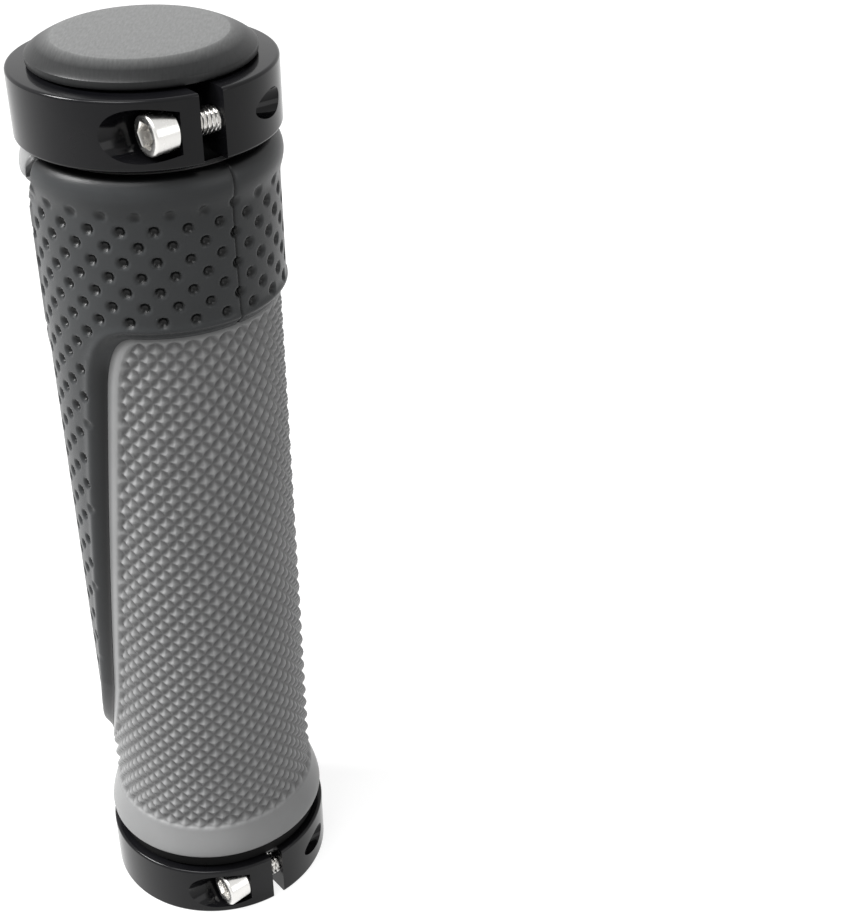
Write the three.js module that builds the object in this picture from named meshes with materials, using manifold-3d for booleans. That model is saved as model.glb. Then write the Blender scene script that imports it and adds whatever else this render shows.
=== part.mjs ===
// Handlebar grip: a plastic sleeve, two colours of moulded rubber, two clamp rings and an end plug.
// Millimetres. +Z runs along the bar from the inboard ring's flat face, where the grip stands.
// An azimuth is an angle about +Z, 0 at the front (-Y) and growing towards +X.
import * as THREE from "three";
import { mergeVertices } from "three/addons/utils/BufferGeometryUtils.js";
import Module from "manifold-3d";

const wasm = await Module();
wasm.setup();

// Driving sizes
const gripLength = 132; // from ring face to ring face
const barDiameter = 22.2; // the handlebar that the grip slides on
const barClearance = 0.1; // on each side of the bar
const sleeveWall = 1.5;
const fitGap = 0.3; // between pieces that touch

const ringWidth = 8.7;
const ringChamfer = 0.4;
const screwAzimuth = 39; // where the screw is square to the radius
const slitWidth = 3.2; // gap in the outboard ring that its screw pulls shut
const slitShift = 0.85; // middle of that gap, from the screw's radius towards the screw's head
const lowerSlitWidth = 1.95; // the inboard ring's gap is pulled further shut
const lowerSlitShift = 0.2;

const toothCount = 3; // teeth on each end of the sleeve that key into the ring
const toothLength = 1.2;
const lugAngle = 34; // degrees that each ring lug takes between two teeth
const toothClearAngle = 4; // degrees of play, both sides of a lug together

const screwInset = 2.75; // screw axis to the ring's outer face, on the radius at the screw's azimuth
const screwDiameter = 3.1; // mean diameter of the thread
const screwLength = 10.5; // under the head
const screwHeadDiameter = 5.2;
const screwHeadLength = 3.4;
const screwHeadTaper = 0.15; // the head is slimmer by this at its seat, in radius
const screwSeat = 5.15; // head seat to the radius at the screw's azimuth
const threadClearance = 0.2;
const headClearance = 0.7;
const hexKey = 3; // socket width across flats
const hexDepth = 2.4;

const flangeStep = 1.05; // the sleeve's stop flange is smaller than the ring by this, in radius
const flangeWidth = 2.2;

const greyWall = 2.2; // grey rubber over the sleeve
const lipRise = 1.4; // from the grey rubber's body up to its swollen ends
const blackRise = 0.8; // from the grey rubber's body up to the black rubber's
const ringStep = 0.15; // from the swollen ends up to the rings
const lipEdge = 0.6; // rounding of the inboard lip
const lipRound = 2.4; // height of the rounding of the outboard lip
const lipDrop = 1.5; // how far that rounding takes the skin in
const flareLength = 6.6; // a lip runs out into the body over this length
const greySeatShare = 0.5; // of the grey rubber's wall, left under the black rubber
const panelEdge = 0.5; // rounding of the black rubber where it ends on the grey

const seamAzimuth = 44.5; // mould seam at the front, and another one half a turn on
const footBand = 12.9; // grey band under the black rubber, at the back
const collarLength = 22.5; // black collar over the big grey panel, at the front
const tongueLength = 33.3; // grey tongue down the back, from the outboard end
const tongueHalfAngle = 58.5; // of the tongue where it leaves the outboard lip
const lipHalfAngle = 74; // of the grey stretch of the outboard lip

const plugInset = 2.55; // the end plug's head is smaller than the ring by this, in radius
const plugBevel = 3.3; // from the head's side in to the flat part of its top
const plugBevelPower = 1.7; // 1 is a quarter ellipse, 2 a straight cone
const plugHeight = 2.85;
const plugRim = 1; // height of the head's straight side
const stemRadius = 8.6;
const stemWall = 1.6;
const stemLength = 18;
const stemRibCount = 4;
const stemRibHeight = 0.6; // how far a rib stands out, to bite in the bar
const stemRibWidth = 1.6;
const stemRibStart = 3; // from the stem's tip to the ribs

// Sizes that follow
const boreRadius = barDiameter / 2 + barClearance;
const sleeveRadius = boreRadius + sleeveWall;
const rubberInner = sleeveRadius + fitGap;
const greyRadius = rubberInner + greyWall;
const blackRadius = greyRadius + blackRise;
const lipRadius = greyRadius + lipRise;
const ringRadius = lipRadius + ringStep; // 33.5 mm across
const screwOffset = ringRadius - screwInset;
const flangeRadius = ringRadius - flangeStep;
const plugRadius = ringRadius - plugInset;
const plugTopRadius = plugRadius - plugBevel;
const recessRadius = sleeveRadius + fitGap;
const recessDepth = toothLength + fitGap;
const sleeveFoot = ringWidth - toothLength;
const sleeveTop = gripLength - sleeveFoot;
const flangeFoot = ringWidth + fitGap;
const rubberFoot = flangeFoot + flangeWidth + fitGap;
const rubberTop = gripLength - ringWidth - fitGap;
const greySeat = rubberInner + greySeatShare * greyWall;
const blackInner = greySeat + fitGap;
const lipStart = rubberTop - flareLength;
const backPanelFoot = rubberFoot + footBand;
const frontPanelTop = rubberTop - collarLength;
const tongueFoot = rubberTop - tongueLength;
const slitAzimuth = screwAzimuth - THREE.MathUtils.radToDeg(Math.asin(slitShift / ringRadius));
const holeRadius = screwDiameter / 2 + threadClearance;
const pocketRadius = screwHeadDiameter / 2 + headClearance;
const screwHeight = ringWidth / 2;
const past = 2; // how far a cutter runs past what it cuts
const sides = { bore: 64, screw: 24, rubber: 96 };
const gapAngle = THREE.MathUtils.radToDeg(fitGap / blackRadius); // fit gap as an angle round the skin

const rad = THREE.MathUtils.degToRad;
const smooth = THREE.MathUtils.smoothstep;
const backSeam = seamAzimuth - 180;

// Booleans: three.js geometry in and out, solids in between
function solid(geometry) {
  const bare = geometry.clone();
  bare.deleteAttribute("normal");
  bare.deleteAttribute("uv");
  const merged = mergeVertices(bare, 1e-4);
  const vertProperties = new Float32Array(merged.attributes.position.array);
  const triVerts = new Uint32Array(merged.index.array);
  return new wasm.Manifold(new wasm.Mesh({ numProp: 3, vertProperties, triVerts }));
}

function geometryOf(body) {
  const mesh = body.getMesh();
  const geometry = new THREE.BufferGeometry();
  geometry.setAttribute("position", new THREE.BufferAttribute(mesh.vertProperties, 3));
  geometry.setIndex(new THREE.BufferAttribute(mesh.triVerts, 1));
  geometry.computeVertexNormals();
  return geometry;
}

// A turned solid about +Z from [radius, height] points that close on themselves
function turned(points, segments) {
  const profile = [...points, points[0]].map(([r, z]) => new THREE.Vector2(r, z));
  return new THREE.LatheGeometry(profile, segments).rotateX(Math.PI / 2);
}

// Wedges of a disc between two azimuths, from the foot height up
function sector(radius, middle, width, foot, height) {
  const start = rad(middle - width / 2 - 90);
  const shape = new THREE.Shape();
  shape.moveTo(0, 0);
  shape.lineTo(radius * Math.cos(start), radius * Math.sin(start));
  shape.absarc(0, 0, radius, start, start + rad(width), false);
  shape.closePath();
  const curveSegments = Math.ceil((sides.bore * width) / 360);
  return new THREE.ExtrudeGeometry(shape, { depth: height, bevelEnabled: false, curveSegments })
    .translate(0, 0, foot);
}

// The screw's frame: z runs along the screw towards its head, and the origin is the foot of the
// perpendicular from the bar's axis
function screwPlace(geometry, height) {
  const out = new THREE.Vector3(Math.sin(rad(screwAzimuth)), -Math.cos(rad(screwAzimuth)), 0);
  const along = new THREE.Vector3(-Math.cos(rad(screwAzimuth)), -Math.sin(rad(screwAzimuth)), 0);
  const side = new THREE.Vector3().crossVectors(along, out);
  const place = new THREE.Matrix4().makeBasis(out, side, along);
  place.setPosition(out.x * screwOffset, out.y * screwOffset, height);
  return geometry.applyMatrix4(place);
}

function rod(radius, from, to, segments = sides.screw) {
  return new THREE.CylinderGeometry(radius, radius, to - from, segments)
    .rotateX(Math.PI / 2)
    .translate(0, 0, (from + to) / 2);
}

// Ring, with its toothed recess on the grip's side at the top
function ringBody(gapWidth, gapShift) {
  const c = ringChamfer;
  let ring = solid(turned([
    [boreRadius, 0], [ringRadius - c, 0], [ringRadius, c],
    [ringRadius, ringWidth - c], [ringRadius - c, ringWidth], [boreRadius, ringWidth],
  ], sides.bore));
  const step = 360 / toothCount;
  for (let i = 0; i < toothCount; i++) {
    ring = ring.subtract(solid(sector(
      recessRadius, slitAzimuth + i * step, step - lugAngle, ringWidth - recessDepth, recessDepth + past,
    )));
  }
  const slit = new THREE.BoxGeometry(gapWidth, ringRadius + past, ringWidth + 2 * past)
    .translate(-gapShift, -(ringRadius + past) / 2, ringWidth / 2)
    .rotateZ(rad(screwAzimuth));
  ring = ring.subtract(solid(slit));
  ring = ring.subtract(solid(screwPlace(rod(holeRadius, -ringRadius, ringRadius), screwHeight)));
  return ring.subtract(solid(screwPlace(rod(pocketRadius, screwSeat - fitGap, ringRadius), screwHeight)));
}

// The outboard ring is the same kind of ring turned over, with the screw's head on the same side
function flipRing(geometry) {
  const mirror = new THREE.Matrix4().makeScale(1, 1, -1).setPosition(0, 0, gripLength);
  const flipped = geometry.clone().applyMatrix4(mirror);
  const index = flipped.index.array;
  for (let i = 0; i < index.length; i += 3) [index[i], index[i + 1]] = [index[i + 1], index[i]];
  flipped.computeVertexNormals();
  return flipped;
}

function screwGeometry(height) {
  const headEnd = screwSeat + screwHeadLength;
  const head = new THREE.CylinderGeometry(
    screwHeadDiameter / 2, screwHeadDiameter / 2 - screwHeadTaper, screwHeadLength, sides.screw,
  ).rotateX(Math.PI / 2).translate(0, 0, (screwSeat + headEnd) / 2);
  const shank = rod(screwDiameter / 2, screwSeat - screwLength, screwSeat + hexDepth / 2);
  const hexCorner = hexKey / 2 / Math.cos(Math.PI / 6);
  const socket = rod(hexCorner, headEnd - hexDepth, headEnd + past, 6);
  const body = solid(head).add(solid(shank)).subtract(solid(socket));
  return screwPlace(geometryOf(body), height);
}

function sleeveBody() {
  let sleeve = solid(turned([
    [boreRadius, sleeveFoot], [sleeveRadius, sleeveFoot], [sleeveRadius, flangeFoot],
    [flangeRadius, flangeFoot], [flangeRadius, flangeFoot + flangeWidth],
    [sleeveRadius, flangeFoot + flangeWidth], [sleeveRadius, sleeveTop], [boreRadius, sleeveTop],
  ], sides.bore));
  const step = 360 / toothCount;
  const slot = lugAngle + toothClearAngle;
  for (let i = 0; i < toothCount; i++) {
    const azimuth = slitAzimuth + (i + 0.5) * step;
    const depth = recessDepth;
    sleeve = sleeve.subtract(solid(sector(recessRadius, azimuth, slot, sleeveFoot - past, depth + past)));
    sleeve = sleeve.subtract(solid(sector(recessRadius, azimuth, slot, sleeveTop - depth, depth + past)));
  }
  return sleeve;
}

// Edges of the two colours, as a height for each angle away from the back seam (0 to 180 degrees).
// Both heights only grow with the angle.
function edgeHeight(path) {
  const points = path.getPoints(24);
  return (angle) => {
    const next = Math.max(1, points.findIndex((p) => p.x >= angle));
    const [a, b] = [points[next - 1], points[next]];
    return a.y + ((b.y - a.y) * (angle - a.x)) / Math.max(b.x - a.x, 1e-6);
  };
}

// Foot of the black rubber: level on the back, then up the sides to the top of the grey front panel
const blackFootAt = edgeHeight(new THREE.Path()
  .moveTo(0, backPanelFoot).lineTo(46, backPanelFoot + 0.5)
  .quadraticCurveTo(66, backPanelFoot + 1.2, 80, backPanelFoot + 13)
  .quadraticCurveTo(90, backPanelFoot + 28, 106.5, frontPanelTop - 9)
  .quadraticCurveTo(111, frontPanelTop, 126, frontPanelTop)
  .lineTo(180.01, frontPanelTop));

// Top of the black rubber: round the grey tongue on the back, then the outboard lip
const blackTopAt = edgeHeight(new THREE.Path()
  .moveTo(0, tongueFoot)
  .bezierCurveTo(33, tongueFoot, 51, tongueFoot + 3, tongueHalfAngle - 4.5, tongueFoot + 12)
  .lineTo(tongueHalfAngle, lipStart)
  .lineTo(lipHalfAngle, lipStart + flareLength / 2)
  .lineTo(lipHalfAngle + gapAngle, rubberTop)
  .lineTo(180.01, rubberTop));

// Radius of the rubber's skin: its own body radius, swelling into a lip at both ends
function skinRadius(body, z) {
  const foot = 1 - smooth(z, rubberFoot, rubberFoot + flareLength);
  const top = smooth(z, lipStart, rubberTop - lipRound);
  const round = THREE.MathUtils.clamp((z - (rubberTop - lipRound)) / lipRound, 0, 1);
  const lip = body + (lipRadius - body) * Math.max(foot, top);
  return lip - lipDrop * (1 - Math.sqrt(1 - round * round));
}

// A closed band round the bar: for each azimuth, a section of [radius, height] points that runs
// outwards along its foot, up its skin and back in along its top
function band(sectionAt) {
  const azimuths = [];
  for (let i = 0; i < sides.rubber; i++) azimuths.push((360 * i) / sides.rubber);
  for (const step of [-1, 0, 1]) {
    const edge = lipHalfAngle + step * gapAngle;
    azimuths.push(edge, 360 - edge);
  }
  azimuths.sort((a, b) => a - b);
  const sections = azimuths.map((angle) => sectionAt(Math.min(angle, 360 - angle)));
  const rows = sections[0].length;
  const positions = [];
  const index = [];
  sections.forEach((section, i) => {
    const azimuth = rad(azimuths[i] + backSeam);
    section.forEach(([r, z]) => positions.push(r * Math.sin(azimuth), -r * Math.cos(azimuth), z));
    const here = i * rows;
    const next = ((i + 1) % sections.length) * rows;
    for (let j = 0; j < rows; j++) {
      const up = (j + 1) % rows;
      index.push(here + j, next + j, next + up, here + j, next + up, here + up);
    }
  });
  const geometry = new THREE.BufferGeometry();
  geometry.setAttribute("position", new THREE.Float32BufferAttribute(positions, 3));
  geometry.setIndex(index);
  geometry.computeVertexNormals();
  return geometry;
}

// Skin points at even steps between two heights
function skin(body, from, to, steps) {
  const points = [];
  for (let j = 0; j <= steps; j++) {
    const z = from + ((to - from) * j) / steps;
    points.push([skinRadius(body, z), z]);
  }
  return points;
}

function blackSection(angle) {
  const foot = blackFootAt(angle);
  const top = blackTopAt(angle);
  const shoulder = Math.max(foot + 2 * panelEdge, Math.min(top - 2 * panelEdge, lipStart));
  const atLip = top > rubberTop - panelEdge;
  return [
    [blackInner, foot],
    [skinRadius(blackRadius, foot) - panelEdge, foot],
    ...skin(blackRadius, foot + panelEdge, shoulder, 1),
    ...skin(blackRadius, shoulder + panelEdge / 2, top - (atLip ? 0 : panelEdge), 6),
    [blackInner + panelEdge, top],
    [blackInner, top],
  ];
}

function greySection(angle) {
  const foot = blackFootAt(Math.max(0, angle - gapAngle)) - fitGap;
  const isLip = angle < lipHalfAngle - gapAngle / 2;
  const top = Math.min(blackTopAt(Math.min(180, angle + gapAngle)) + fitGap, rubberTop - 2 * panelEdge);
  const shoulder = Math.max(top + panelEdge, lipStart);
  const below = skin(greyRadius, top, shoulder, 1);
  const above = skin(greyRadius, shoulder + panelEdge, rubberTop, 6);
  const count = below.length + above.length;
  const seat = below.concat(above).map((_, j) => [greySeat, top + ((rubberTop - top) * (j + 1)) / count]);
  const outer = isLip ? [...below, ...above] : seat;
  return [
    [rubberInner, rubberFoot],
    [lipRadius - lipEdge, rubberFoot],
    ...skin(greyRadius, rubberFoot + lipEdge, rubberFoot + flareLength, 5),
    [greyRadius, foot],
    [greySeat, foot],
    [greySeat, top - panelEdge / 2],
    ...outer,
    [rubberInner, rubberTop],
  ];
}

// End plug: a domed head on the ring's face, and a hollow ribbed stem that goes into the bar
function plugBody() {
  const foot = gripLength + fitGap;
  const top = foot + plugHeight;
  const shoulder = foot + plugRim;
  const stemFoot = foot - stemLength;
  const ribLength = stemLength - stemRibStart;
  const dome = [];
  for (let i = 0; i <= 6; i++) {
    const turn = (Math.PI / 2) * (i / 6);
    dome.push([
      plugTopRadius + (plugRadius - plugTopRadius) * Math.cos(turn) ** plugBevelPower,
      shoulder + (top - shoulder) * Math.sin(turn) ** plugBevelPower,
    ]);
  }
  let plug = solid(turned([
    [0, foot], [stemRadius - stemWall, foot], [stemRadius - stemWall, stemFoot], [stemRadius, stemFoot],
    [stemRadius, foot], [plugRadius, foot], ...dome, [0, top],
  ], sides.bore));
  for (let i = 0; i < stemRibCount; i++) {
    const rib = new THREE.BoxGeometry(stemRibWidth, stemWall / 2 + stemRibHeight, ribLength)
      .translate(0, -(stemRadius + stemRibHeight / 2 - stemWall / 4), foot - ribLength / 2)
      .rotateZ((2 * Math.PI * i) / stemRibCount);
    plug = plug.add(solid(rib));
  }
  return plug;
}

const materials = {
  sleeve: new THREE.MeshStandardMaterial({ color: 0x16171a, roughness: 0.5, metalness: 0 }),
  greyRubber: new THREE.MeshStandardMaterial({ color: 0x86878a, roughness: 0.7, metalness: 0 }),
  blackRubber: new THREE.MeshStandardMaterial({ color: 0x3b3d41, roughness: 0.6, metalness: 0 }),
  ring: new THREE.MeshStandardMaterial({ color: 0x111214, roughness: 0.2, metalness: 0.6 }),
  screw: new THREE.MeshStandardMaterial({ color: 0xc9c7c2, roughness: 0.25, metalness: 1 }),
  plug: new THREE.MeshStandardMaterial({ color: 0x3a3b3c, roughness: 0.65, metalness: 0 }),
};

const group = new THREE.Group();
function place(name, geometry, material) {
  const mesh = new THREE.Mesh(geometry, material);
  mesh.name = name;
  group.add(mesh);
}

place("inner_sleeve", geometryOf(sleeveBody()), materials.sleeve);
place("grey_grip_rubber", band(greySection), materials.greyRubber);
place("black_grip_rubber", band(blackSection), materials.blackRubber);
place("lower_clamp_ring", geometryOf(ringBody(lowerSlitWidth, lowerSlitShift)), materials.ring);
place("upper_clamp_ring", flipRing(geometryOf(ringBody(slitWidth, slitShift))), materials.ring);
place("lower_clamp_screw", screwGeometry(screwHeight), materials.screw);
place("upper_clamp_screw", screwGeometry(gripLength - screwHeight), materials.screw);
place("end_plug", geometryOf(plugBody()), materials.plug);

export default group;
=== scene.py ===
# %% [markdown]
# A clamp-on handlebar grip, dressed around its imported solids.
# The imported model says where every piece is. This script gives each one its fine surface: the diamond
# knurl and the dimples of the rubber, the thread of the screws, the turned edges of the rings, and a
# finish for each. Sizes are in millimetres until a mesh is written, which is in metres.

# %% Load the frame
import math

import bpy
import numpy as np
from mathutils import Matrix, Vector


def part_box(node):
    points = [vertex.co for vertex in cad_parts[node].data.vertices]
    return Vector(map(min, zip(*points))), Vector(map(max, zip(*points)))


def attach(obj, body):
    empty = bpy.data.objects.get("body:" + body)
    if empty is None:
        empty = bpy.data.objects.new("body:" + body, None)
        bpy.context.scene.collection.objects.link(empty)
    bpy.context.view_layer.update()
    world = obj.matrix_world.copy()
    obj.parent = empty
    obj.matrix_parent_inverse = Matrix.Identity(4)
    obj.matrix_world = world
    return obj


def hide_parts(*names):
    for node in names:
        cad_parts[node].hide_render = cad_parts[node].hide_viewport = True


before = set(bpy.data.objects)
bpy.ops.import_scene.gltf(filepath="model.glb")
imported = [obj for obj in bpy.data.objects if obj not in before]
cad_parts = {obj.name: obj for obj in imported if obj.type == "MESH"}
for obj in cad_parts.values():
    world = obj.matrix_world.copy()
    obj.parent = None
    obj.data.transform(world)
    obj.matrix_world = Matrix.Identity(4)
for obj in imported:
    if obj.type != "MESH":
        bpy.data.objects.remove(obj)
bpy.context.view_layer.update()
print("nodes:", sorted(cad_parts))

# %% [markdown]
# The sizes come from the frame where its boxes give them. The rest repeat the solids' own values, so
# that every fine surface lies on the solid that it stands for, or lie a little off them where the
# photograph shows more than the solids do.

# %% Sizes
MM = 0.001


def box_mm(node):
    """Lowest and highest corner of a node, in millimetres."""
    low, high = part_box(node)
    return np.array(low) / MM, np.array(high) / MM


ring_low, ring_high = box_mm("lower_clamp_ring")
_, upper_high = box_mm("upper_clamp_ring")
rubber_low, rubber_high = box_mm("grey_grip_rubber")
sleeve_low, sleeve_high = box_mm("inner_sleeve")
plug_low, plug_high = box_mm("end_plug")

GRIP_LENGTH = upper_high[2]
RING_RADIUS = (ring_high[0] - ring_low[0]) / 2
RING_WIDTH = ring_high[2]
RUBBER_FOOT = rubber_low[2]
RUBBER_TOP = rubber_high[2]
BORE_RADIUS = 11.2
SLEEVE_RADIUS = 12.7
FIT_GAP = 0.3
RECESS_RADIUS = SLEEVE_RADIUS + FIT_GAP
RECESS_DEPTH = RING_WIDTH - sleeve_low[2] + FIT_GAP
print(f"ring {2 * RING_RADIUS:.1f} mm across, grip {GRIP_LENGTH:.1f} mm long")

# %% [markdown]
# Every shape here is a grid: columns go round the bar and rows follow a section. A row that is squeezed
# to nothing in some column shares its neighbour's point, so one function turns a grid of point numbers
# into clean faces: four corners where they all differ, three where two of them meet, none otherwise.

# %% Grids to meshes
def grid_faces(ids, close_rows=False):
    """Faces of a grid of point numbers whose columns close on themselves.

    The corners of a cell are (i, j), (i+1, j), (i+1, j+1), (i, j+1), which face outwards
    when columns run anticlockwise seen from above and rows run up."""
    if close_rows:
        ids = np.concatenate([ids, ids[:, :1]], axis=1)
    after = np.roll(ids, -1, axis=0)
    cells = np.stack([ids[:, :-1], after[:, :-1], after[:, 1:], ids[:, 1:]], axis=-1).reshape(-1, 4)
    same = cells == np.roll(cells, -1, axis=1)
    count = same.sum(axis=1)
    quads = cells[count == 0]
    thin = cells[count == 1]
    order = np.array([[0, 2, 3], [0, 1, 3], [0, 1, 2], [0, 1, 2]])
    triangles = np.take_along_axis(thin, order[same[count == 1].argmax(axis=1)], axis=1)
    return quads, triangles


four_by_three = np.arange(12).reshape(4, 3)
print("4 columns of 3 points make", len(grid_faces(four_by_three)[0]), "faces")

# %% [markdown]
# Points and faces go into a mesh as whole arrays, which is far quicker than one vertex at a time. Points
# that no face uses are dropped first, so a squeezed row leaves no loose vertex behind.

# %% Arrays into a mesh
def write_mesh(name, points, quads, triangles):
    """A mesh in metres from points in millimetres, without the points that no face uses."""
    used, corners = np.unique(np.concatenate([quads.ravel(), triangles.ravel()]), return_inverse=True)
    mesh = bpy.data.meshes.new(name)
    mesh.vertices.add(len(used))
    mesh.vertices.foreach_set("co", (points[used] * MM).astype(np.float32).ravel())
    mesh.loops.add(len(corners))
    mesh.loops.foreach_set("vertex_index", corners.astype(np.int32))
    starts = np.concatenate([
        np.arange(len(quads)) * 4,
        len(quads) * 4 + np.arange(len(triangles)) * 3,
    ])
    mesh.polygons.add(len(starts))
    mesh.polygons.foreach_set("loop_start", starts.astype(np.int32))
    mesh.update(calc_edges=True)
    mesh.validate()
    return mesh, used


def add_object(name, mesh, sharp_angle=None):
    """An object at the origin with smooth shading, sharp past an angle in degrees."""
    mesh.shade_smooth()
    if sharp_angle is not None:
        mesh.set_sharp_from_angle(angle=math.radians(sharp_angle))
    obj = bpy.data.objects.new(name, mesh)
    bpy.context.scene.collection.objects.link(obj)
    return obj


print("mesh helpers: write_mesh and add_object")

# %% Dressing a piece
def dress(obj, node, body, material):
    """The piece stands for its solid, rides on that solid's body and takes its finish."""
    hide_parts(node)
    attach(obj, body)
    obj.data.materials.clear()
    obj.data.materials.append(material)
    print(f"{obj.name}: {len(obj.data.polygons)} faces")


print("solids to dress:", len(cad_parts))

# %% [markdown]
# Most pieces of a grip are round. A point is given by its azimuth, its radius and its height, and a
# turned piece is one profile carried round the Z axis.

# %% Round pieces
def round_points(azimuth, radius, height):
    """Points at an azimuth in degrees: 0 is -Y, and it grows towards +X."""
    turn, radius, height = np.broadcast_arrays(np.radians(azimuth), radius, height)
    return np.stack([radius * np.sin(turn), -radius * np.cos(turn), height], axis=-1)


def turned(name, profile, sides):
    """A turned piece: a list of (radius, height) carried round the Z axis.

    A profile that starts and ends on the axis gets one point at each pole. Any other closes on
    itself."""
    profile = np.array(profile, float)
    azimuth = np.arange(sides) * 360 / sides
    points = round_points(azimuth[:, None], profile[None, :, 0], profile[None, :, 1])
    ids = np.arange(points.shape[0] * points.shape[1]).reshape(points.shape[:2])
    on_axis = profile[:, 0] < 1e-6
    ids[:, on_axis] = ids[:1, on_axis]
    quads, triangles = grid_faces(ids, close_rows=not on_axis.any())
    mesh, _ = write_mesh(name, points.reshape(-1, 3), quads, triangles)
    return mesh


def arc(centre, radius, start, end, steps):
    """Points of an arc in the (radius, height) plane, angles in degrees from the outward direction."""
    turn = np.radians(np.linspace(start, end, steps + 1))
    return [(centre[0] + radius * math.cos(t), centre[1] + radius * math.sin(t)) for t in turn]


print("a quarter arc in 6 steps has", len(arc((0, 0), 1, 0, 90, 6)), "points")

# %% [markdown]
# The two colours of rubber meet along two curves, given as a height for every angle away from the mould
# seam at the back. The lower one is the foot of the black rubber. It is level on the back and climbs on
# both sides to the top of the big grey panel. The upper one rounds the grey tongue on the back.

# %% Where the colours meet
SEAM_AZIMUTH = 44.5
BACK_SEAM = SEAM_AZIMUTH - 180
FLARE_LENGTH = 6.6
LIP_START = RUBBER_TOP - FLARE_LENGTH
BACK_PANEL_FOOT = RUBBER_FOOT + 12.9
FRONT_PANEL_TOP = RUBBER_TOP - 22.5
TONGUE_FOOT = RUBBER_TOP - 33.3
TONGUE_HALF_ANGLE = 58.5
LIP_HALF_ANGLE = 74


def curve_points(start, pieces, steps=24):
    """A chain of straight and Bezier stretches. Each piece lists its control points and its end."""
    path = [np.array([start], float)]
    here = np.array(start, float)
    t = np.linspace(0, 1, steps + 1)[1:, None]
    for piece in pieces:
        controls = [here, *np.array(piece, float)]
        degree = len(controls) - 1
        path.append(sum(
            math.comb(degree, k) * (1 - t) ** (degree - k) * t**k * point
            for k, point in enumerate(controls)
        ))
        here = controls[-1]
    return np.concatenate(path)


black_foot_curve = curve_points((0, BACK_PANEL_FOOT), [
    [(46, BACK_PANEL_FOOT + 0.5)],
    [(66, BACK_PANEL_FOOT + 1.2), (80, BACK_PANEL_FOOT + 14.5)],
    [(90, BACK_PANEL_FOOT + 29), (109, FRONT_PANEL_TOP - 9)],
    [(113, FRONT_PANEL_TOP), (127, FRONT_PANEL_TOP)],
    [(180, FRONT_PANEL_TOP)],
])
black_top_curve = curve_points((0, TONGUE_FOOT), [
    [(33, TONGUE_FOOT), (51, TONGUE_FOOT + 3), (TONGUE_HALF_ANGLE - 4.5, TONGUE_FOOT + 12)],
    [(TONGUE_HALF_ANGLE, LIP_START)],
    [(LIP_HALF_ANGLE, LIP_START + FLARE_LENGTH / 2)],
    [(LIP_HALF_ANGLE + 1, RUBBER_TOP)],
    [(180, RUBBER_TOP)],
])


def edge_height(curve, angle):
    """Height of a colour edge at an angle from the back seam."""
    return np.interp(angle, curve[:, 0], curve[:, 1])


print("colour edges:", len(black_foot_curve), "and", len(black_top_curve), "points")

# %% [markdown]
# Borders, rolls and grooves all follow a colour edge at a set distance. A height difference would do
# where the edge is level, but not where it climbs, so the real distance to the curve is worked out.

# %% Distance to a colour edge
SKIN_RADIUS = 15.6


def edge_distance(curve, angle, height, sideways=1.0):
    """Distance along the skin from points to a colour edge, in millimetres: the least distance to
    any stretch of the curve, with angles laid out flat at the skin's radius. Distances round the bar
    count for the share given as sideways, which makes a border wider beside an edge than above it."""
    radius = SKIN_RADIUS * sideways
    flat = np.stack([np.radians(curve[:, 0]) * radius, curve[:, 1]], axis=-1)
    start, run = flat[:-1], np.diff(flat, axis=0)
    least = np.full(np.broadcast(angle, height).shape, np.inf)
    across = np.broadcast_to(np.radians(angle) * radius, least.shape)
    up = np.broadcast_to(height, least.shape)
    for (x0, z0), (dx, dz) in zip(start, run):
        share = np.clip(((across - x0) * dx + (up - z0) * dz) / max(dx * dx + dz * dz, 1e-9), 0, 1)
        least = np.minimum(least, np.hypot(across - x0 - share * dx, up - z0 - share * dz))
    return least


seam_reach = edge_distance(black_foot_curve, np.array([0.0]), np.array([BACK_PANEL_FOOT + 5]))
print(f"5 mm above the level foot the edge is {seam_reach[0]:.2f} mm away")

# %% [markdown]
# Both rubbers swell into a lip at each end. The inboard lip flares out to its edge. The outboard lip
# rounds over and stops a little short of the ring, which leaves a dark groove between them.

# %% The rubber's skin
GREY_RADIUS = 15.2
BLACK_RADIUS = 16.0
LIP_RADIUS = 16.6
LIP_EDGE = 0.6
LIP_ROUND = 2.6
LIP_DROP = 1.8
LIP_GROOVE = 0.8
LIP_TOP = RUBBER_TOP - LIP_GROOVE
LIP_ROWS = LIP_TOP - LIP_ROUND * (1 - np.sin(np.radians(np.linspace(0, 90, 11))))


def smooth_step(x, low, high):
    """0 below low, 1 above high and the cubic 3t^2 - 2t^3 between."""
    t = np.clip((x - low) / (high - low), 0, 1)
    return t * t * (3 - 2 * t)


def skin_radius(body, height):
    """The body's radius, swelling into the lips by a smooth step. The outboard lip is rounded over by a
    quarter ellipse."""
    foot = 1 - smooth_step(height, RUBBER_FOOT, RUBBER_FOOT + FLARE_LENGTH)
    top = smooth_step(height, LIP_START, LIP_TOP - LIP_ROUND)
    over = np.clip((height - (LIP_TOP - LIP_ROUND)) / LIP_ROUND, 0, 1)
    lip = body + (LIP_RADIUS - body) * np.maximum(foot, top)
    return lip - LIP_DROP * (1 - np.sqrt(1 - over * over))


print(f"the lips stand {LIP_RADIUS - GREY_RADIUS:.1f} mm above the grey skin")

# %% [markdown]
# The knurl is a staggered field of small four-sided beads. A bead's height falls with the sum of its two
# distances from the tip, each as a share of the pitch, which leaves straight grooves that cross. A smooth
# step then rounds the tip and the groove. The grid's columns and rows land on every tip and groove.

# %% Knurl
KNURL_AROUND = 40
KNURL_PITCH = 2.505
KNURL_DEPTH = 0.54
KNURL_STEPS = 5
KNURL_ORIGIN = 15.94
KNURL_TURN = 2.2
KNURL_BEGIN = (16.4, 17.1)
KNURL_END = (LIP_START - 0.1, LIP_START + 0.2)


def nearest(value, pitch):
    """Signed distance to the nearest multiple of the pitch."""
    return value - pitch * np.round(value / pitch)


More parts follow.
